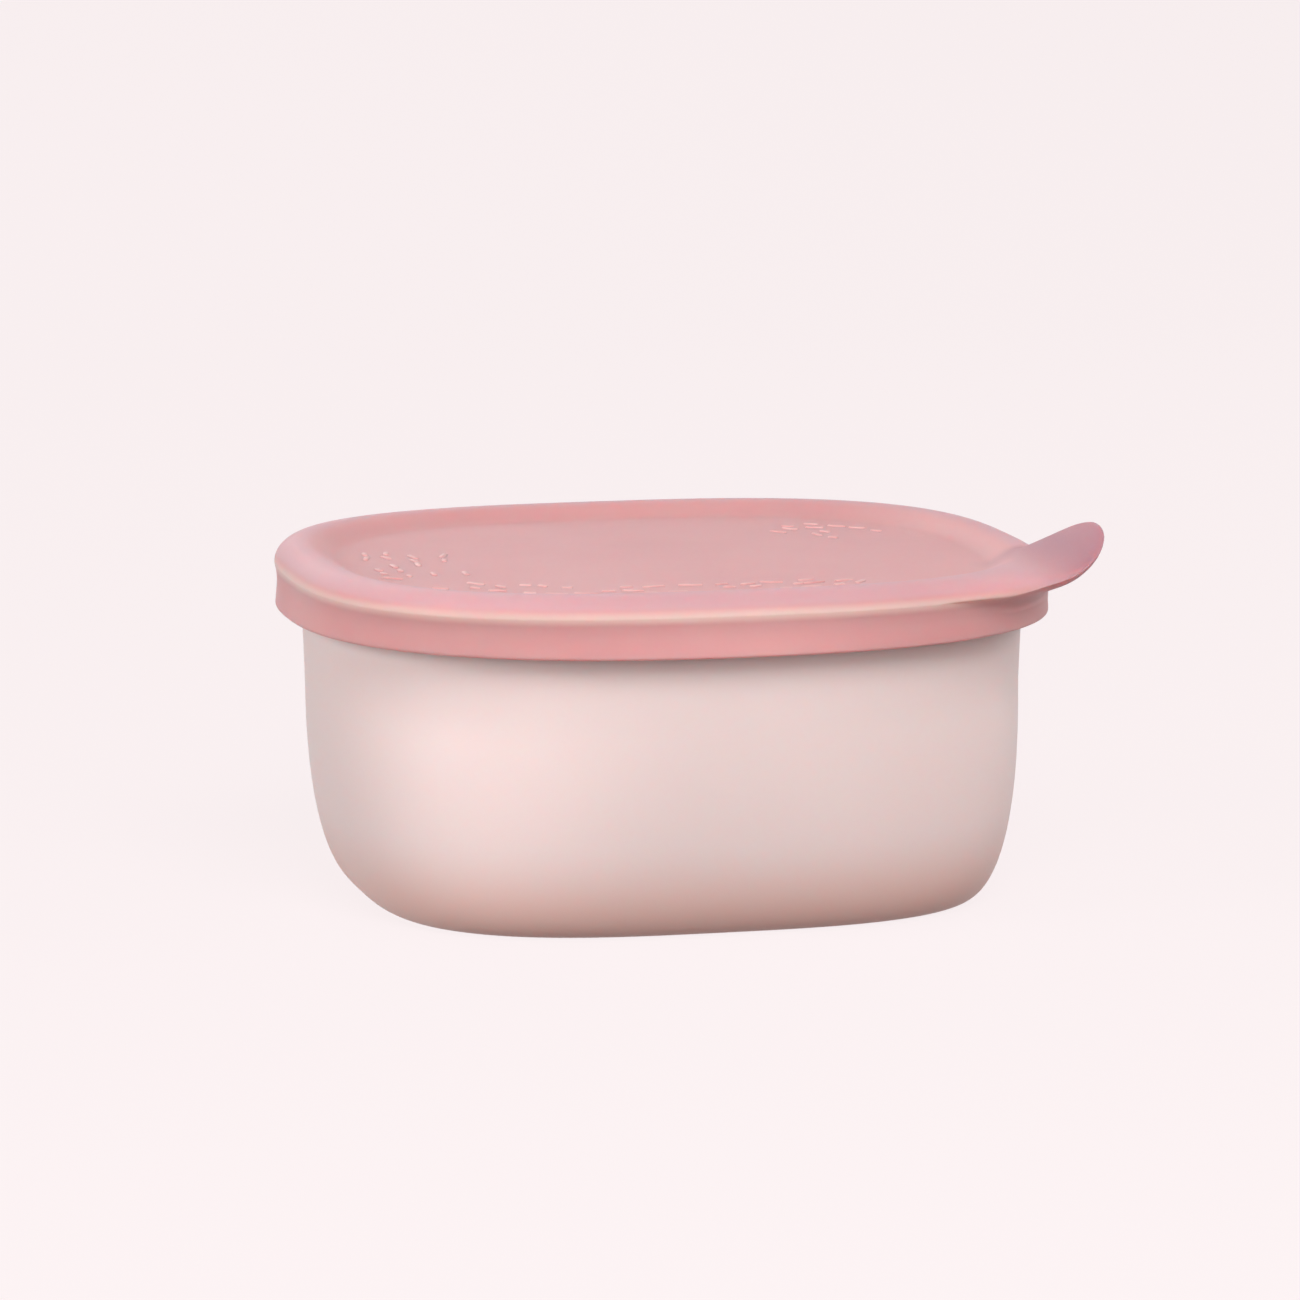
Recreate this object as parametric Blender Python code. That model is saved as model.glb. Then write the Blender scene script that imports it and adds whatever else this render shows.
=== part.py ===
"""Lidded food bowl: a rigid bowl and a soft silicone lid with a pull tab at one corner.

Metres, +Z up. The origin is the centre of the bowl's flat base. +X runs along the bowl's
longer side, and the tab is at the +X, -Y corner.
"""
import bpy
import bmesh
from math import cos, sin, pi, radians, copysign, hypot
from mathutils import Vector

MM = 0.001

# Lid outline at the skirt's lower edge, and the heights of the lid
LID_HALF_X = 75.0 * MM
LID_HALF_Y = 67.5 * MM
SKIRT_Z = 56.0 * MM             # lower edge of the skirt
CREST_Z = 68.0 * MM             # top of the rolled rim
PANEL_Z = 65.1 * MM             # top of the sunken panel
PANEL_T = 2.1 * MM
RUBBER_T = 2.2 * MM             # rim and skirt thickness

# Bowl
MOUTH_Z = 65.5 * MM             # 0.3 mm under the lid's rim
MOUTH_INSET = 4.7 * MM          # wall's outer face, in from the lid's outline
WALL_T = 2.4 * MM
DRAFT = 0.038                   # inward lean per unit of height
ROUND_Z = 42.4 * MM             # the bottom's rounding starts at this height
ROUND_IN = 10.9 * MM            # and pulls the base in by this much
ROUND_POWER = 2.33
FLANGE_INSET = 2.7 * MM         # flange edge, 0.4 mm inside the skirt
FLANGE_Z = 62.7 * MM            # underside of the flange

# Squareness of the plan (superellipse power) at each height
PLAN_POWER = [(0.0, 3.05), (42.0 * MM, 2.4), (56.0 * MM, 2.4), (68.0 * MM, 2.85)]

# Corner that peels up: a vertical cut across the lid, square to the pull
PULL_ANGLE = radians(-35.0)     # direction from the lid's centre to the corner
BEND_DIST = 52.0 * MM           # the bend line's distance from the centre
GAP = 0.3 * MM

# Pull tab
TAB_Y = -38.0 * MM              # middle of the tab's root
TAB_ROOT_X = 63.0 * MM
TAB_LEAD = 14.0 * MM            # straight stretch behind the root, trimmed off by the rim
TAB_TOP_Z = 68.2 * MM           # top of the tab at its root
TAB_LENGTH = 17.6 * MM
TAB_HALF_WIDTH = 16.0 * MM
TAB_T = 4.2 * MM
TAB_PLAN_POWER = 2.05           # roundness of its tip, seen from above
TAB_TIP_POWER = 2.75            # how late it thins towards the tip
TAB_ANGLE = radians(6.0)        # heading, from +X towards +Y
TAB_RISE = radians(7.0)         # slope at the root
TAB_CURL = radians(42.0)        # extra slope at the tip

RING_STEPS = 64
TAB_RINGS = 14
TAB_RING_CROWDING = 0.8         # under 1, the rings crowd towards the tip
TAB_STEPS = 24
ROUND_STEPS = 7


def remove_all_objects():
    for obj in list(bpy.data.objects):
        bpy.data.objects.remove(obj, do_unlink=True)


def new_collection(name):
    collection = bpy.data.collections.new(name)
    bpy.context.scene.collection.children.link(collection)
    return collection


def new_material(name, color, roughness):
    material = bpy.data.materials.new(name)
    material.use_nodes = True
    shader = material.node_tree.nodes["Principled BSDF"]
    shader.inputs["Base Color"].default_value = (*color, 1.0)
    shader.inputs["Roughness"].default_value = roughness
    shader.inputs["Metallic"].default_value = 0.0
    return material


def plan_power(z):
    """Power of the plan's superellipse at height z, in straight steps between the table's rows."""
    rows = PLAN_POWER
    if z <= rows[0][0]:
        return rows[0][1]
    for (z0, power0), (z1, power1) in zip(rows, rows[1:]):
        if z <= z1:
            return power0 + (power1 - power0) * (z - z0) / (z1 - z0)
    return rows[-1][1]


def plan_ring(inset, z):
    """Points of one level outline, this far in from the lid's outline."""
    power = 2.0 / plan_power(z)
    half_x = LID_HALF_X - inset
    half_y = LID_HALF_Y - inset
    points = []
    for i in range(RING_STEPS):
        angle = 2.0 * pi * i / RING_STEPS
        x = half_x * copysign(abs(cos(angle)) ** power, cos(angle))
        y = half_y * copysign(abs(sin(angle)) ** power, sin(angle))
        points.append(Vector((x, y, z)))
    return points


def loft(name, rings, material, collection):
    """Closed body through rings of points, with a flat cap on the first and the last ring."""
    bm = bmesh.new()
    loops = [[bm.verts.new(point) for point in ring] for ring in rings]
    for lower, upper in zip(loops, loops[1:]):
        for i in range(len(lower)):
            j = (i + 1) % len(lower)
            bm.faces.new((lower[i], lower[j], upper[j], upper[i]))
    bm.faces.new(list(reversed(loops[0])))
    bm.faces.new(loops[-1])
    bmesh.ops.recalc_face_normals(bm, faces=bm.faces[:])
    mesh = bpy.data.meshes.new(name)
    bm.to_mesh(mesh)
    bm.free()
    mesh.shade_smooth()
    mesh.set_sharp_from_angle(angle=radians(40.0))
    mesh.materials.append(material)
    obj = bpy.data.objects.new(name, mesh)
    collection.objects.link(obj)
    return obj


def as_cutter(obj):
    obj.hide_render = True
    obj.display_type = "WIRE"
    return obj


def cut(obj, cutter):
    boolean = obj.modifiers.new(cutter.name, "BOOLEAN")
    boolean.operation = "DIFFERENCE"
    boolean.solver = "EXACT"
    boolean.object = cutter


def wall_inset(z):
    """Outer face of the bowl's wall at height z, in from the lid's outline."""
    inset = MOUTH_INSET + DRAFT * (MOUTH_Z - z)
    if z < ROUND_Z:
        depth = min((ROUND_Z - z) / ROUND_Z, 1.0)
        inset += ROUND_IN * (1.0 - (1.0 - depth ** ROUND_POWER) ** (1.0 / ROUND_POWER))
    return inset


def wall_profile():
    """(inset, z) points of the wall's outer face, from the base up to the flange."""
    heights = [ROUND_Z * (1.0 - cos(0.5 * pi * i / ROUND_STEPS)) for i in range(ROUND_STEPS + 1)]
    heights += [0.5 * (ROUND_Z + FLANGE_Z), FLANGE_Z - 1.0 * MM]
    return [(wall_inset(z), z) for z in heights]


def offset_profile(profile, distance):
    """The same profile moved inward by the wall's thickness, square to the surface."""
    moved = []
    for i, (inset, z) in enumerate(profile):
        before = profile[max(i - 1, 0)]
        after = profile[min(i + 1, len(profile) - 1)]
        run = after[0] - before[0]
        rise = after[1] - before[1]
        length = hypot(run, rise)
        if i == 0:
            moved.append((inset, z + distance))
        else:
            moved.append((inset + distance * rise / length, z - distance * run / length))
    return moved


def build_bowl(collection):
    outer = wall_profile()
    inner = offset_profile(outer, WALL_T)
    mouth_in = MOUTH_INSET + WALL_T
    edge = 0.5 * MM
    flange = [
        (FLANGE_INSET + edge, FLANGE_Z),
        (FLANGE_INSET, FLANGE_Z + edge),
        (FLANGE_INSET, MOUTH_Z - edge),
        (FLANGE_INSET + edge, MOUTH_Z),
        (mouth_in - edge, MOUTH_Z),
        (mouth_in, MOUTH_Z - edge),
    ]
    profile = outer + flange + list(reversed(inner))
    material = new_material("bowl_plastic", (0.82, 0.66, 0.64), 0.45)
    return loft("bowl", [plan_ring(inset, z) for inset, z in profile], material, collection)


def lid_rings():
    """Rings of the whole lid: over the panel, the rim and the skirt, and back underneath."""
    roof = MOUTH_Z + GAP
    skirt_in = FLANGE_INSET - 0.4 * MM
    profile = [
        (13.0 * MM, PANEL_Z),
        (11.2 * MM, PANEL_Z + 0.6 * MM),
        (9.2 * MM, CREST_Z - 0.8 * MM),
        (7.2 * MM, CREST_Z),
        (5.4 * MM, CREST_Z),
        (3.2 * MM, CREST_Z - 0.7 * MM),
        (1.4 * MM, CREST_Z - 2.1 * MM),
        (0.6 * MM, CREST_Z - 3.8 * MM),
        (0.9 * MM, CREST_Z - 4.9 * MM),
        (0.6 * MM, SKIRT_Z + 4.0 * MM),
        (0.0, SKIRT_Z + 0.6 * MM),
        (0.4 * MM, SKIRT_Z),
        (RUBBER_T - 0.4 * MM, SKIRT_Z),
        (RUBBER_T, SKIRT_Z + 0.5 * MM),
        (skirt_in, roof - 0.6 * MM),
        (skirt_in + 0.6 * MM, roof),
        (9.4 * MM, roof),
        (10.4 * MM, PANEL_Z - PANEL_T + 0.6 * MM),
        (11.0 * MM, PANEL_Z - PANEL_T),
    ]
    return [plan_ring(inset, z) for inset, z in profile]


def box_cutter(name, start, end, collection):
    """Box that covers the lid from start to end along the pull direction."""
    bpy.ops.mesh.primitive_cube_add(size=1.0)
    box = bpy.context.object
    box.name = name
    middle = 0.5 * (start + end)
    box.scale = (end - start, 4.0 * LID_HALF_X, 2.0 * CREST_Z)
    box.rotation_euler = (0.0, 0.0, PULL_ANGLE)
    box.location = (middle * cos(PULL_ANGLE), middle * sin(PULL_ANGLE), SKIRT_Z)
    for owner in list(box.users_collection):
        owner.objects.unlink(box)
    collection.objects.link(box)
    return as_cutter(box)


def build_lid(collection, cutters):
    material = new_material("lid_silicone", (0.73, 0.42, 0.41), 0.55)
    reach = 3.0 * LID_HALF_X
    lid = loft("lid", lid_rings(), material, collection)
    cut(lid, box_cutter("corner_side", BEND_DIST - 0.5 * GAP, reach, cutters))
    corner = loft("lid_corner", lid_rings(), material, collection)
    cut(corner, box_cutter("lid_side", -reach, BEND_DIST + 0.5 * GAP, cutters))
    return lid, corner


def tab_rings():
    """Flattened oval sections along the tab's middle line, which curls up to the tip."""
    heading = Vector((cos(TAB_ANGLE), sin(TAB_ANGLE), 0.0))
    across = Vector((-sin(TAB_ANGLE), cos(TAB_ANGLE), 0.0))
    place = Vector((TAB_ROOT_X, TAB_Y, TAB_TOP_Z)) - heading * TAB_LEAD
    stations = [(i / TAB_RINGS) ** TAB_RING_CROWDING for i in range(TAB_RINGS)]
    rings = []
    travel = TAB_LEAD
    for along, next_along in zip([0.0] + stations, stations + [1.0]):
        slope = TAB_RISE + TAB_CURL * along if rings else 0.0
        up = Vector((0.0, 0.0, cos(slope))) - heading * sin(slope)
        half_width = TAB_HALF_WIDTH * (1.0 - along ** TAB_PLAN_POWER) ** (1.0 / TAB_PLAN_POWER)
        half_t = 0.5 * TAB_T * (1.0 - along ** TAB_TIP_POWER) ** (1.0 / TAB_TIP_POWER)
        middle = place - Vector((0.0, 0.0, 0.5 * TAB_T))
        ring = []
        for j in range(TAB_STEPS):
            angle = 2.0 * pi * j / TAB_STEPS
            ring.append(middle + across * half_width * cos(angle) + up * half_t * sin(angle))
        if rings:
            travel = TAB_LENGTH * (next_along - along)
        place = place + (heading * cos(slope) + Vector((0.0, 0.0, sin(slope)))) * travel
        rings.append(ring)
    return rings


def build_tab(lid_material, collection, cutters):
    tab = loft("pull_tab", tab_rings(), lid_material, collection)
    clear = 0.6 * MM - GAP
    prism = loft(
        "rim_clearance",
        [[Vector((p.x, p.y, z)) for p in plan_ring(clear, CREST_Z)] for z in (SKIRT_Z, 2.0 * CREST_Z)],
        lid_material,
        cutters,
    )
    cut(tab, as_cutter(prism))
    return tab


def add_corner_hinge(children, collection):
    """Empty on the bend line, which carries the corner and its tab."""
    hinge = bpy.data.objects.new("corner_hinge", None)
    hinge.empty_display_size = 0.01
    hinge.location = (BEND_DIST * cos(PULL_ANGLE), BEND_DIST * sin(PULL_ANGLE), CREST_Z)
    hinge.rotation_euler = (0.0, 0.0, PULL_ANGLE)
    collection.objects.link(hinge)
    bpy.context.view_layer.update()
    for child in children:
        child.parent = hinge
        child.matrix_parent_inverse = hinge.matrix_world.inverted()


def main():
    remove_all_objects()
    parts = new_collection("lidded_food_bowl")
    cutters = new_collection("cutters")
    build_bowl(parts)
    lid, corner = build_lid(parts, cutters)
    tab = build_tab(lid.data.materials[0], parts, cutters)
    add_corner_hinge([corner, tab], parts)
    bpy.context.view_layer.update()


main()
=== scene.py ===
import math

import bpy
import bmesh
import numpy as np
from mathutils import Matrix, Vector


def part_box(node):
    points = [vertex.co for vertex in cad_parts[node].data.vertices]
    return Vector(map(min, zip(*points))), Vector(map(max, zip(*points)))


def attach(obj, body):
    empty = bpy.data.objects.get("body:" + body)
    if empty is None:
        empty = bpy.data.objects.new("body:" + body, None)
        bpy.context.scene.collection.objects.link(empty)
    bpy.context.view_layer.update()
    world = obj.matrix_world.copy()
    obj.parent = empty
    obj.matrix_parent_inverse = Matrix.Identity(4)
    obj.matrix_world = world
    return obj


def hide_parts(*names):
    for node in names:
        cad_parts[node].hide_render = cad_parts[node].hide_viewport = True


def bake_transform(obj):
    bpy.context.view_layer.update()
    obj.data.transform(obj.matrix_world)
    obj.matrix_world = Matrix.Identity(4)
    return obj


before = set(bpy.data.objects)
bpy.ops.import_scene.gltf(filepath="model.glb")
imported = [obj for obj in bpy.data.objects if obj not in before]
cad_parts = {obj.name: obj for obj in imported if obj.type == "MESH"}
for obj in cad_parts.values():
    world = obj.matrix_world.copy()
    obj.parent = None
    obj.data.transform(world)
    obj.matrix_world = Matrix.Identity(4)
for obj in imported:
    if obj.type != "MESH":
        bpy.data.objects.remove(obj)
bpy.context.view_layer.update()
scene = bpy.context.scene
mm = 0.001


# small helpers
def linear(hexColour):
    # sRGB hex to linear RGBA
    values = [int(hexColour[i:i + 2], 16) / 255 for i in (1, 3, 5)]
    lin = [v / 12.92 if v <= 0.04045 else ((v + 0.055) / 1.055) ** 2.4 for v in values]
    return (*lin, 1.0)


def addNode(tree, kind, settings=None, links=None):
    # settings: attribute name, or socket name or number
    # links: socket of this node -> another node's output
    node = tree.nodes.new(kind)
    for key, value in (settings or {}).items():
        if isinstance(key, str) and hasattr(node, key):
            setattr(node, key, value)
        else:
            node.inputs[key].default_value = value
    for key, source in (links or {}).items():
        tree.links.new(source, node.inputs[key])
    return node


def startMaterial(name):
    material = bpy.data.materials.new(name)
    material.use_nodes = True
    material.node_tree.nodes.clear()
    return material, material.node_tree


def colourSteps(node, stops):
    ramp = node.color_ramp
    ramp.elements[0].position, ramp.elements[1].position = stops[0][0], stops[-1][0]
    ramp.elements[0].color, ramp.elements[1].color = linear(stops[0][1]), linear(stops[-1][1])
    for position, colour in stops[1:-1]:
        ramp.elements.new(position).color = linear(colour)
    return node


def smoothStep(low, high, value):
    t = np.clip((value - low) / (high - low), 0, 1)
    return t * t * (3 - 2 * t)


def softMax(a, b, reach):
    # the larger of a and b, rounded over where they are within reach of each other
    near = np.clip(reach - np.abs(a - b), 0, None) / reach
    return np.maximum(a, b) + near * near * reach / 4


def gridObject(name, rows, material):
    # rows: list of (columns, 3) arrays; the first and last may be a single point, a pole
    bm = bmesh.new()
    rings = [[bm.verts.new(p) for p in np.atleast_2d(row)] for row in rows]
    for low, high in zip(rings, rings[1:]):
        count = max(len(low), len(high))
        for i in range(count):
            j = (i + 1) % count
            if len(low) == 1:
                bm.faces.new((low[0], high[i], high[j]))
            elif len(high) == 1:
                bm.faces.new((low[i], high[0], low[j]))
            else:
                bm.faces.new((low[i], high[i], high[j], low[j]))
    bmesh.ops.recalc_face_normals(bm, faces=bm.faces[:])
    mesh = bpy.data.meshes.new(name)
    bm.to_mesh(mesh)
    bm.free()
    mesh.shade_smooth()
    mesh.materials.append(material)
    obj = bpy.data.objects.new(name, mesh)
    scene.collection.objects.link(obj)
    return obj


def meshPoints(mesh):
    points = np.empty(len(mesh.vertices) * 3)
    mesh.vertices.foreach_get("co", points)
    return points.reshape(-1, 3).T


def paintPoints(mesh, name, values):
    # one number per point, for the material to read by name
    layer = mesh.attributes.new(name, "FLOAT", "POINT")
    layer.data.foreach_set("value", values.astype(np.float32))


def smoothRows(rows, cuts):
    # uniform cubic B-spline down the rows: cuts new rows to each one, ends kept
    rows = np.array(rows)
    padded = np.concatenate([2 * rows[:1] - rows[1:2], rows, 2 * rows[-1:] - rows[-2:-1]])
    out = []
    for i in range(len(rows) - 1):
        a, b, c, d = padded[i:i + 4]
        for t in np.arange(cuts) / cuts:
            out.append(((1 - t) ** 3 * a + (3 * t ** 3 - 6 * t ** 2 + 4) * b
                        + (-3 * t ** 3 + 3 * t ** 2 + 3 * t + 1) * c + t ** 3 * d) / 6)
    return out + [rows[-1]]


# outline shared by the bowl and the lid
lidLow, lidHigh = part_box("lid")
bowlLow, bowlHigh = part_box("bowl")
outline = {
    "halfX": -lidLow.x,
    "halfY": -lidLow.y,
    "powers": [(0.0, 3.05), (42.0 * mm, 2.4), (56.0 * mm, 2.4), (68.0 * mm, 2.85)],  # squareness by height
}
skirtZ, crestZ, mouthZ = lidLow.z, lidHigh.z, bowlHigh.z


def planRadius(angles, inset, z):
    # distance from the middle to the superellipse outline, this far in from the lid's edge
    heights, powers = zip(*outline["powers"])
    power = np.interp(z, heights, powers)
    x = np.abs(np.cos(angles)) / (outline["halfX"] - inset)
    y = np.abs(np.sin(angles)) / (outline["halfY"] - inset)
    return (x ** power + y ** power) ** (-1 / power)


def planRow(angles, radius, z):
    z = np.broadcast_to(z, angles.shape)
    return np.stack([radius * np.cos(angles), radius * np.sin(angles), z], 1)


# camera
camera = {
    "azimuth": -14.0,
    "elevation": 9.24,
    "distance": 1.35,
    "lens": 188.5,
    "aimAcross": -2.06 * mm,
    "aimUp": 46.3 * mm,
}


def makeCamera():
    az, el = math.radians(camera["azimuth"]), math.radians(camera["elevation"])
    back = Vector((math.sin(az) * math.cos(el), -math.cos(az) * math.cos(el), math.sin(el)))
    right = Vector((math.cos(az), math.sin(az), 0.0))
    up = back.cross(right)
    data = bpy.data.cameras.new("camera")
    data.lens = camera["lens"]
    data.sensor_width = 36
    data.clip_start, data.clip_end = 0.05, 20
    obj = bpy.data.objects.new("camera", data)
    obj.location = right * camera["aimAcross"] + up * camera["aimUp"] + back * camera["distance"]
    obj.rotation_mode = "QUATERNION"
    obj.rotation_quaternion = (-back).to_track_quat("-Z", "Y")
    scene.collection.objects.link(obj)
    scene.camera = obj


makeCamera()
print("camera placed")


# studio
studio = {
    "paper": "#FAF1F2",
    "paperGlow": 0.94,           # share of the paper's brightness that is even, so its tone stays flat
    "paperShade": 0.07,
    "airTone": "#F7CCC4",        # warm fill
    "air": 0.2,
    # name: degrees round from the camera to the right, degrees up, watts
    "lights": {
        "frontKey": (14, 42, 9.2),
        "leftStrip": (-64, 16, 7.4),
        "frontLow": (-14, 10, 2.2),
        "frontRight": (38, 12, 2.3),
        "rightFill": (80, 32, 1.8),
        "backRight": (132, 14, 2.6),
        "backLeft": (-158, 28, 1.5),
    },
    "lightSize": 0.6,
    "lightDistance": 1.2,
}


def makeStudio():
    world = bpy.data.worlds.new("studioAir")
    world.use_nodes = True
    world.node_tree.nodes["Background"].inputs["Color"].default_value = linear(studio["airTone"])
    world.node_tree.nodes["Background"].inputs["Strength"].default_value = studio["air"]
    scene.world = world
    scene.view_settings.view_transform = "Standard"
    for name, (turn, rise, power) in studio["lights"].items():
        around, rise = math.radians(camera["azimuth"] + turn), math.radians(rise)
        away = Vector((math.sin(around) * math.cos(rise), -math.cos(around) * math.cos(rise), math.sin(rise)))
        data = bpy.data.lights.new(name, "AREA")
        data.size = studio["lightSize"]
        data.energy = power
        obj = bpy.data.objects.new(name, data)
        obj.location = away * studio["lightDistance"] + Vector((0, 0, 40 * mm))
        obj.rotation_euler = away.to_track_quat("Z", "Y").to_euler()
        scene.collection.objects.link(obj)
    # sweep: floor that curves up into a backdrop
    radius, deep, wide, high = 0.7, 1.6, 4.0, 3.0
    profile = [(-3.0, 0.0), (deep - radius, 0.0)]
    for i in range(1, 13):
        turn = math.pi / 2 * i / 12
        profile.append((deep - radius + radius * math.sin(turn), radius - radius * math.cos(turn)))
    profile.append((deep, high))
    bm = bmesh.new()
    left = [bm.verts.new((-wide, y, z)) for y, z in profile]
    right = [bm.verts.new((wide, y, z)) for y, z in profile]
    for i in range(len(profile) - 1):
        bm.faces.new((left[i], right[i], right[i + 1], left[i + 1]))
    mesh = bpy.data.meshes.new("paperSweep")
    bm.to_mesh(mesh)
    bm.free()
    mesh.shade_smooth()
    material, tree = startMaterial("studio paper, uncoated")
    tone = linear(studio["paper"])
    dim = [value * studio["paperShade"] for value in tone[:3]]
    shader = addNode(tree, "ShaderNodeBsdfPrincipled",
                     {"Base Color": (*dim, 1), "Roughness": 0.9, "Specular IOR Level": 0.0,
                      "Emission Color": tone, "Emission Strength": studio["paperGlow"]})
    addNode(tree, "ShaderNodeOutputMaterial", links={"Surface": shader.outputs[0]})
    mesh.materials.append(material)
    sweep = bpy.data.objects.new("paperSweep", mesh)
    sweep.visible_diffuse = False  # its brightness doesn't spill onto the bowl's underside
    scene.collection.objects.link(sweep)


makeStudio()
print("studio lit")


# bowl: injection-moulded polypropylene
bowl = {
    "colour": "#ECD9D7",
    "colourShade": "#E8D6D4",
    "colourLow": "#E2B6AA",       # painted warmth round the base, in place of light off a warm table
    "tintLow": 1 * mm,
    "tintHigh": 20 * mm,
    "tintAmount": 0.8,
    "roughness": 0.46,
    "wall": 2.4 * mm,
    "wallInset": 4.7 * mm,       # outer face at the mouth, in from the lid's outline
    "lean": 0.038,
    "roundFrom": 42.4 * mm,
    "roundIn": 10.9 * mm,
    "roundPower": 2.33,
    "flangeInset": 2.55 * mm,
    "flangeLow": 62.8 * mm,
    "footDepth": 0.5 * mm,       # hollow under the base, inside the ring it stands on
    "columns": 320,
}


def mouldedPlastic():
    # polypropylene from a spark-eroded mould: satin, milky just under the skin
    material, tree = startMaterial("polypropylene, injection-moulded, satin")
    place = addNode(tree, "ShaderNodeTexCoord")
    cloud = addNode(tree, "ShaderNodeTexNoise", {"Scale": 18.0, "Detail": 2.0, "Roughness": 0.45},
                    {"Vector": place.outputs["Object"]})  # slow drift of the pigment, about 55 mm across
    tint = colourSteps(addNode(tree, "ShaderNodeValToRGB", links={"Fac": cloud.outputs["Fac"]}),
                       [(0.3, bowl["colourShade"]), (0.7, bowl["colour"])])
    tone = addNode(tree, "ShaderNodeMix", {"data_type": "RGBA", 7: linear(bowl["colourLow"])},
                   {0: addNode(tree, "ShaderNodeAttribute", {"attribute_name": "low"}).outputs["Fac"],
                    6: tint.outputs["Color"]})
    grain = addNode(tree, "ShaderNodeTexNoise", {"Scale": 1 / (0.7 * mm), "Detail": 2.0, "Roughness": 0.6},
                    {"Vector": place.outputs["Object"]})  # 0.1 mm spark grain, drawn at 0.7 mm to show
    waves = addNode(tree, "ShaderNodeTexNoise", {"Scale": 60.0, "Detail": 1.0},
                    {"Vector": place.outputs["Object"]})  # faint sink and flow unevenness
    fine = addNode(tree, "ShaderNodeBump", {"Strength": 0.05, "Distance": 0.1 * mm},
                   {"Height": grain.outputs["Fac"]})
    bump = addNode(tree, "ShaderNodeBump", {"Strength": 0.12, "Distance": 0.25 * mm},
                   {"Height": waves.outputs["Fac"], "Normal": fine.outputs["Normal"]})
    gloss = addNode(tree, "ShaderNodeMapRange",
                    {"To Min": bowl["roughness"] - 0.03, "To Max": bowl["roughness"] + 0.05},
                    {"Value": grain.outputs["Fac"]})
    shader = addNode(tree, "ShaderNodeBsdfPrincipled",
                     {"IOR": 1.49, "Subsurface Weight": 0.6, "Subsurface Radius": (1.0, 0.36, 0.3),
                      "Subsurface Scale": 4.0 * mm, "Specular IOR Level": 0.42},
                     {"Base Color": tone.outputs[2], "Roughness": gloss.outputs["Result"],
                      "Normal": bump.outputs["Normal"]})
    addNode(tree, "ShaderNodeOutputMaterial", links={"Surface": shader.outputs[0]})
    return material


def bowlProfile():
    # (inset, z) from the middle of the base, up the outside, over the mouth, and down the inside
    def wallInset(z):
        rounding = max(bowl["roundFrom"] - z, 0) / bowl["roundFrom"]
        pull = bowl["roundIn"] * (1 - (1 - rounding ** bowl["roundPower"]) ** (1 / bowl["roundPower"]))
        return bowl["wallInset"] + bowl["lean"] * (mouthZ - z) + pull

    turns = np.linspace(0, math.pi / 2, 22)
    outer = [(wallInset(z), z) for z in bowl["roundFrom"] * (1 - np.cos(turns))]
    straight = np.linspace(bowl["roundFrom"], bowl["flangeLow"] - 1.2 * mm, 7)[1:]
    outer += [(wallInset(z), z) for z in straight]
    steps = np.array(outer)
    slope = np.gradient(steps, axis=0)
    slope /= np.linalg.norm(slope, axis=1, keepdims=True)
    inner = steps + bowl["wall"] * np.stack([slope[:, 1], -slope[:, 0]], 1)
    inner[0] = (steps[0][0], bowl["wall"])
    foot = bowl["footDepth"]
    edge = steps[0][0]
    under = [(edge + 8.0 * mm, foot), (edge + 4.2 * mm, foot), (edge + 3.6 * mm, foot * 0.85),
             (edge + 3.0 * mm, foot * 0.2), (edge + 2.4 * mm, 0.0)]
    flange, low = bowl["flangeInset"], bowl["flangeLow"]
    mouth = wallInset(mouthZ) + bowl["wall"]
    lip = [(flange + 1.1 * mm, low - 0.15 * mm), (flange + 0.35 * mm, low), (flange, low + 0.4 * mm),
           (flange, mouthZ - 0.7 * mm), (flange + 0.2 * mm, mouthZ - 0.2 * mm), (flange + 0.8 * mm, mouthZ),
           (mouth - 0.8 * mm, mouthZ), (mouth - 0.2 * mm, mouthZ - 0.2 * mm), (mouth, mouthZ - 0.8 * mm)]
    return under, outer + lip + [tuple(p) for p in inner[::-1]]


def makeBowl():
    angles = np.linspace(0, 2 * math.pi, bowl["columns"], endpoint=False)
    under, profile = bowlProfile()
    foot, floor = bowl["footDepth"], bowl["wall"]
    footRim, floorRim = planRadius(angles, under[0][0], 0.0), planRadius(angles, profile[-1][0], 0.0)
    rows = [planRow(angles, share * footRim, foot) for share in (0.25, 0.6, 0.9)]
    rows += [planRow(angles, planRadius(angles, inset, 0.0), z) for inset, z in under]
    rows += [planRow(angles, planRadius(angles, inset, z), z) for inset, z in profile]
    rows += [planRow(angles, share * floorRim, floor) for share in (0.9, 0.6, 0.25)]
    rows = [np.array([0, 0, foot]), *smoothRows(rows, 2), np.array([0, 0, floor])]
    obj = gridObject("bowlBody", rows, mouldedPlastic())
    z = meshPoints(obj.data)[2]
    low = 1 - smoothStep(bowl["tintLow"], bowl["tintHigh"], z)
    paintPoints(obj.data, "low", low * bowl["tintAmount"])
    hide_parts("bowl")
    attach(obj, "bowl")


makeBowl()
print("bowl made")


# lid: compression-moulded silicone, with its pull tab
lid = {
    "colour": "#DFA3A3",
    "colourDeep": "#DA9C9D",
    "colourLipHighlight": "#F6CDC6",      # painted highlight, a pale line along the widest edge
    "colourCoolSheen": "#D0A9B5",     # painted cool sheen on the rolled rim
    "colourTabShade": "#AE7E89",     # painted shade, a darker tone on the tab
    # painted highlight: the paler tone of the raised marks
    "colourMarkHighlight": "#E9BDBB",
    "roughness": 0.5,
    "panelZ": 65.1 * mm,
    "panelUnder": 63.0 * mm,
    "edgeInset": 0.55 * mm,      # widest line of the rolled rim
    "edgeZ": 64.1 * mm,
    "bendWidth": 12 * mm,        # rubber that bends when the corner is peeled
    "lipHighlightAmount": 0.8,
    "coolSheenAmount": 0.5,
    "columns": 480,
}

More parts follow.
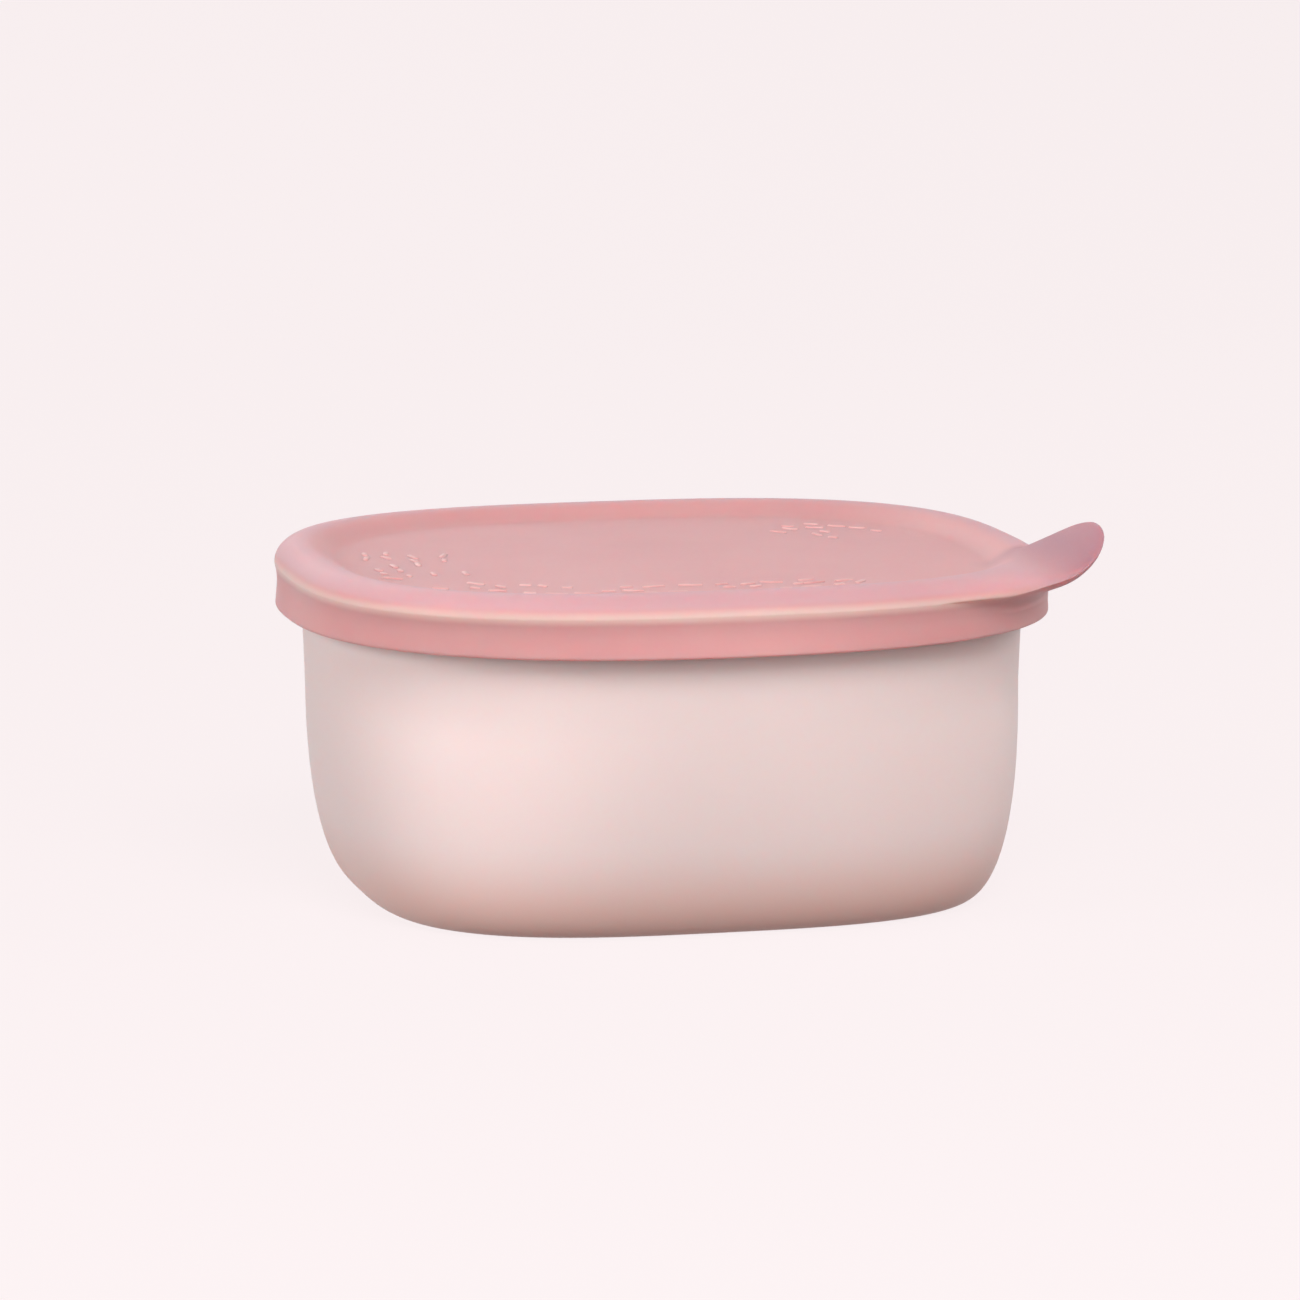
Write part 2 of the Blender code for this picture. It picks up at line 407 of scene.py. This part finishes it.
tab = {
    "planPower": 2.05,           # roundness of its tip seen from above
    "tipPower": 2.75,            # how late it thins toward the tip
    "rootX": 62.9 * mm,
    "rootY": -37.8 * mm,
    "topZ": 68.2 * mm,
    "length": 17.6 * mm,
    "halfWidth": 16.0 * mm,
    "halfThick": 2.05 * mm,
    "heading": 6.0,              # degrees from +X towards +Y
    "rise": 7.0,                 # degrees of slope at the root
    "curl": 42.0,                # degrees more at the tip
    "leaves": (-66, -50),        # angles between which its edge leaves the rim
    "steepest": 130.0 * mm,      # most its edge may move out per radian
    "nearBlend": 13.0 * mm,      # how early its edge leaves the rim, front side and back side
    "farBlend": 4.0 * mm,
    "filletDrop": 1.8 * mm,      # how far its underside runs down the skirt
}


def mouldedSilicone():
    # platinum-cured silicone from a fine-blasted mould: soft milky glow, powdery sheen
    material, tree = startMaterial("silicone rubber, compression-moulded, matt")
    place = addNode(tree, "ShaderNodeTexCoord")
    cloud = addNode(tree, "ShaderNodeTexNoise", {"Scale": 30.0, "Detail": 3.0, "Roughness": 0.5},
                    {"Vector": place.outputs["Object"]})  # uneven pigment, about 30 mm across
    tint = colourSteps(addNode(tree, "ShaderNodeValToRGB", links={"Fac": cloud.outputs["Fac"]}),
                       [(0.3, lid["colourDeep"]), (0.7, lid["colour"])])
    tone = tint.outputs["Color"]
    # painted highlight, painted cool sheen and painted shade, mixed over the rubber's colour
    for name, colour in (("lip", "colourLipHighlight"), ("coolSheen", "colourCoolSheen"), ("free", "colourTabShade")):
        amount = addNode(tree, "ShaderNodeAttribute", {"attribute_name": name})  # painted on the mesh
        tone = addNode(tree, "ShaderNodeMix", {"data_type": "RGBA", 7: linear(lid[colour])},
                       {0: amount.outputs["Fac"], 6: tone}).outputs[2]
    grain = addNode(tree, "ShaderNodeTexNoise", {"Scale": 1 / (0.6 * mm), "Detail": 2.0, "Roughness": 0.6},
                    {"Vector": place.outputs["Object"]})  # 0.05 mm blasted grain, drawn at 0.6 mm to show
    bump = addNode(tree, "ShaderNodeBump", {"Strength": 0.08, "Distance": 0.1 * mm},
                   {"Height": grain.outputs["Fac"]})
    gloss = addNode(tree, "ShaderNodeMapRange",
                    {"To Min": lid["roughness"] - 0.04, "To Max": lid["roughness"] + 0.06},
                    {"Value": grain.outputs["Fac"]})
    shader = addNode(tree, "ShaderNodeBsdfPrincipled",
                     {"IOR": 1.41, "Subsurface Weight": 0.9, "Subsurface Radius": (1.0, 0.3, 0.22),
                      "Subsurface Scale": 6.0 * mm, "Sheen Weight": 0.1, "Sheen Roughness": 0.4,
                      "Sheen Tint": linear("#EFDDF4"), "Specular IOR Level": 0.4},
                     {"Base Color": tone, "Roughness": gloss.outputs["Result"],
                      "Normal": bump.outputs["Normal"]})
    addNode(tree, "ShaderNodeOutputMaterial", links={"Surface": shader.outputs[0]})
    return material


def tabLine():
    # the tab's middle line: share of its length, distance out and height, from the root
    share = np.linspace(0, 1, 80)
    slope = np.radians(tab["rise"] + tab["curl"] * share)
    step = tab["length"] / 79
    out = np.concatenate([[0], np.cumsum(np.cos((slope[1:] + slope[:-1]) / 2)) * step])
    high = np.concatenate([[0], np.cumsum(np.sin((slope[1:] + slope[:-1]) / 2)) * step])
    return share, out, high


def tabPlace(x, y):
    # where a plan point lies on the tab: distance out, distance across, half width there,
    # height of the middle line, half thickness, and how far out the tab reaches in plan
    share, out, high = tabLine()
    turn = math.radians(tab["heading"])
    along = (x - tab["rootX"]) * math.cos(turn) + (y - tab["rootY"]) * math.sin(turn)
    across = (y - tab["rootY"]) * math.cos(turn) - (x - tab["rootX"]) * math.sin(turn)
    part = np.clip(np.interp(along, out, share), 0, 1)
    width = tab["halfWidth"] * (1 - part ** tab["planPower"]) ** (1 / tab["planPower"])
    thick = tab["halfThick"] * (1 - part ** tab["tipPower"]) ** (1 / tab["tipPower"])
    height = np.interp(along, out, high) + math.tan(math.radians(tab["rise"])) * np.minimum(along, 0)
    return along, across, width, tab["topZ"] - tab["halfThick"] + height, thick, out[-1]


def edgeRadius(angles):
    # outer edge of the rolled rim, drawn out to the tab's edge at the corner
    rim = planRadius(angles, lid["edgeInset"], lid["edgeZ"])
    reach = np.linspace(55, 95, 801) * mm
    x, y = np.outer(np.cos(angles), reach), np.outer(np.sin(angles), reach)
    along, across, width, _, _, longest = tabPlace(x, y)
    inside = (np.abs(across) < width) & (along > -60 * mm) & (along < longest)
    far = np.where(inside.any(1), reach[inside.shape[1] - 1 - inside[:, ::-1].argmax(1)], 0)
    order = np.abs(angles[:, None] - angles[None, :])
    far = np.max(far[None, :] - tab["steepest"] * order, axis=1)  # no step where a ray first meets the tab
    leave = smoothStep(*np.radians(tab["leaves"]), angles)
    side = smoothStep(math.radians(-42), math.radians(-18), angles)
    blend = 0.1 * mm + (tab["nearBlend"] + (tab["farBlend"] - tab["nearBlend"]) * side) * leave
    return rim, np.where(leave > 0, softMax(rim, far, blend), rim)


def lidAngles():
    # columns spaced evenly along the edge, and twice as close at the tab
    dense = np.linspace(-math.pi, math.pi, 1601)
    _, edge = edgeRadius(dense)
    x, y = edge * np.cos(dense), edge * np.sin(dense)
    run = np.hypot(np.diff(x), np.diff(y))
    middle = (dense[1:] + dense[:-1]) / 2
    run = run * (1 + 1.6 * np.exp(-((middle + math.radians(30)) / math.radians(17)) ** 2))
    total = np.concatenate([[0], np.cumsum(run)])
    return np.interp(np.linspace(0, total[-1], lid["columns"], endpoint=False), total, dense)


def lidRows():
    angles = lidAngles()
    rim, edge = edgeRadius(angles)
    extra = edge - rim
    cos, sin = np.cos(angles), np.sin(angles)

    def base(inset, z):
        return planRow(angles, planRadius(angles, inset * mm, z * mm), z * mm)

    flat = planRadius(angles, 14.6 * mm, lid["panelZ"])
    rows = [planRow(angles, share * flat, lid["panelZ"]) for share in (0.2, 0.45, 0.7, 0.9)]
    rows += [base(*p) for p in (
        (14.6, 65.1), (13.0, 65.15), (11.8, 65.5), (10.6, 66.3), (9.4, 67.2), (8.3, 67.75))]
    # over the rim: inset, height, share of the tab's extra reach
    over = [(7.2, 68.0, 0), (6.2, 68.05, 0), (5.4, 68.0, 0.1), (4.6, 67.9, 0.3), (3.8, 67.65, 0.5),
            (3.0, 67.25, 0.7), (2.2, 66.7, 0.85), (1.5, 66.05, 0.94), (1.0, 65.35, 0.98), (0.7, 64.7, 0.995),
            (0.55, 64.0, 1)]
    for inset, z, share in over:
        radius = planRadius(angles, inset * mm, z * mm) + extra * share
        x, y = radius * cos, radius * sin
        along, across, width, middle, thick, _ = tabPlace(x, y)
        beyond = np.abs(across) - width
        side = np.sqrt(np.clip(1 - (across / np.maximum(width, 1e-6)) ** 2, 0, 1))
        top = middle + thick * side
        top = np.where(beyond > 0, middle - beyond * np.where(across < 0, 0.35, 1.2), top)
        plain = z * mm * np.ones_like(top)
        lift = softMax(plain, top, 1.6 * mm) - 0.4 * mm * np.exp(-((top - plain) / (0.8 * mm)) ** 2)
        rows.append(np.stack([x, y, lift], 1))
    # under the tab and back to the skirt, round a fillet; elsewhere straight down past the rim's edge
    topEdge = rows[-1][:, 2]
    landZ = 62.4 * mm - tab["filletDrop"]
    landing = planRadius(angles, 0.75 * mm, landZ)
    grown = smoothStep(0.0, 6.0 * mm, extra)
    for share in (0.03, 0.08, 0.15, 0.24, 0.35, 0.48, 0.62, 0.76, 0.89, 1.0):
        inward, down = math.sin(math.pi / 2 * share), (1 - math.cos(math.pi / 2 * share)) ** 1.2
        z = (63.9 - 1.5 * share) * mm
        plain = planRadius(angles, (0.55 + 0.23 * share) * mm, z)
        radius = plain + (edge + (landing - edge) * inward - plain) * grown
        x, y = radius * cos, radius * sin
        _, across, width, middle, thick, _ = tabPlace(x, y)
        side = np.sqrt(np.clip(1 - (across / np.maximum(width, 1e-6)) ** 2, 0, 1))
        below = np.minimum(middle - thick * side, topEdge) - 0.7 * mm * min(share / 0.15, 1)
        height = z + (below + (landZ - below) * down - z) * grown
        rows.append(np.stack([x, y, height], 1))
    for inset, z, sink in ((0.8, 61.6, 0.85), (0.75, 60.6, 0.6), (0.6, 59.6, 0.35), (0.45, 58.6, 0.12),
                           (0.25, 57.6, 0), (0.08, 56.8, 0)):
        row = base(inset, z)
        row[:, 2] -= tab["filletDrop"] * sink * grown
        rows.append(row)
    rows += [base(*p) for p in (
        (0.02, 56.4), (0.2, 56.05), (0.8, 56.0), (1.5, 56.0), (2.0, 56.2), (2.2, 56.8), (2.25, 58.5),
        (2.3, 61.0), (2.3, 63.5), (2.3, 64.9), (2.45, 65.5), (3.0, 65.8), (5.0, 65.8), (7.5, 65.8),
        (9.0, 65.75), (9.8, 65.3),
        (10.2, 64.4), (10.5, 63.5), (11.1, 63.05), (12.4, 63.0), (14.6, 63.0))]
    flat = planRadius(angles, 14.6 * mm, lid["panelUnder"])
    rows += [planRow(angles, share * flat, lid["panelUnder"]) for share in (0.9, 0.7, 0.45, 0.2)]
    return [np.array([0, 0, lid["panelZ"]]), *smoothRows(rows, 3), np.array([0, 0, lid["panelUnder"]])]


def tintByPlace(mesh):
    # how much of each painted highlight, sheen and shade a point takes; they stay put when the lid moves
    x, y, z = meshPoints(mesh)
    inset = planRadius(np.arctan2(y, x), 0, lid["edgeZ"]) - np.hypot(x, y)
    outside = 1 - smoothStep(1.3 * mm, 2.0 * mm, inset)
    along, across = tabPlace(x, y)[:2]
    # free: painted shade darkening the tab
    free = smoothStep(-6 * mm, 9 * mm, along) * (1 - smoothStep(13 * mm, 21 * mm, np.abs(across)))
    free *= smoothStep(63.4 * mm, 65 * mm, z)  # keeps off the skirt below the tab
    # lip: painted highlight, a pale band round the rim's widest edge, fading out at the tab
    lip = smoothStep(62.2 * mm, 63.9 * mm, z) * (1 - smoothStep(64.1 * mm, 65.6 * mm, z)) * outside
    lip *= 1 - smoothStep(-14 * mm, -3 * mm, along)
    # painted cool sheen on the upward faces of the rolled rim
    coolSheen = smoothStep(65.0 * mm, 66.2 * mm, z) * (1 - smoothStep(6.0 * mm, 9.5 * mm, inset))
    paintPoints(mesh, "lip", lip * lid["lipHighlightAmount"])
    paintPoints(mesh, "coolSheen", coolSheen * (1 - free) * lid["coolSheenAmount"])
    paintPoints(mesh, "free", free)


def makeLid():
    obj = gridObject("lidBody", lidRows(), mouldedSilicone())
    tintByPlace(obj.data)
    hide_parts("lid", "lid_corner", "pull_tab")
    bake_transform(obj)


makeLid()
print("lid made")


# raised marks on the panel: plain dashes
marks = {
    "proud": 0.28 * mm,
    "sunk": 0.3 * mm,
    "wide": 1.1 * mm,
    "lengths": (2.2 * mm, 4.8 * mm),
    "swing": 0.25,
    "seed": 11,
    # first and last angle in degrees, how far in from the outline in mm, share of the bars kept
    "bands": [(-152, -50, (20, 24, 28, 32), 0.7),
              (158, 196, (18, 22, 27, 33), 0.5),
              (24, 48, (19, 23, 27, 31), 0.75)],
}


def glossyMarks():
    # same rubber, a little glossier, as if the mould were polished there, and a little paler, a painted
    # highlight where the raised strokes catch the light; its look is a guess
    material, tree = startMaterial("silicone rubber, raised marks, polished in the mould")
    place = addNode(tree, "ShaderNodeTexCoord")
    cloud = addNode(tree, "ShaderNodeTexNoise", {"Scale": 200.0, "Detail": 2.0},
                    {"Vector": place.outputs["Object"]})
    tint = colourSteps(addNode(tree, "ShaderNodeValToRGB", links={"Fac": cloud.outputs["Fac"]}),
                       [(0.3, lid["colour"]), (0.7, lid["colourMarkHighlight"])])
    shader = addNode(tree, "ShaderNodeBsdfPrincipled", {"IOR": 1.41, "Roughness": 0.35},
                     {"Base Color": tint.outputs["Color"]})
    addNode(tree, "ShaderNodeOutputMaterial", links={"Surface": shader.outputs[0]})
    return material


def dash(bm, x, y, turn, length):
    # one rounded bar, lying in the panel's face
    wide, low, high = marks["wide"] / 2, lid["panelZ"] - marks["sunk"], lid["panelZ"] + marks["proud"]
    rings = []
    for grow, z in ((1.0, low), (1.0, high - 0.12 * mm), (0.7, high)):
        ring = []
        for i in range(16):
            angle = 2 * math.pi * i / 16
            along = math.copysign(length / 2 - wide, math.cos(angle)) + wide * grow * math.cos(angle)
            across = wide * grow * math.sin(angle)
            ring.append(bm.verts.new((x + along * math.cos(turn) - across * math.sin(turn),
                                      y + along * math.sin(turn) + across * math.cos(turn), z)))
        rings.append(ring)
    for a, b in zip(rings, rings[1:]):
        for i in range(16):
            bm.faces.new((a[i], a[(i + 1) % 16], b[(i + 1) % 16], b[i]))
    bm.faces.new(rings[0][::-1])
    bm.faces.new(rings[-1])


def makeMarks():
    draw = np.random.default_rng(marks["seed"])
    bm = bmesh.new()
    for first, last, insets, kept in marks["bands"]:
        for inset in insets:
            angle = math.radians(first + draw.uniform(0, 4))
            while angle < math.radians(last):
                pair = np.array([angle, angle + 0.01])
                here, ahead = planRow(pair, planRadius(pair, inset * mm, lid["panelZ"]), 0)
                length = draw.uniform(*marks["lengths"])
                turn = math.atan2(*(ahead - here)[1::-1]) + draw.normal(0, marks["swing"])
                if draw.random() < kept:
                    dash(bm, here[0], here[1] + draw.normal(0, 0.5 * mm), turn, length)
                angle += (length + draw.uniform(1.0, 3.0) * mm) / math.hypot(here[0], here[1])
    bmesh.ops.recalc_face_normals(bm, faces=bm.faces[:])
    mesh = bpy.data.meshes.new("panelMarks")
    bm.to_mesh(mesh)
    bm.free()
    mesh.shade_smooth()
    mesh.set_sharp_from_angle(angle=math.radians(50))
    mesh.materials.append(glossyMarks())
    obj = bpy.data.objects.new("panelMarks", mesh)
    scene.collection.objects.link(obj)
    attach(obj, "lid")


makeMarks()
print("marks made")
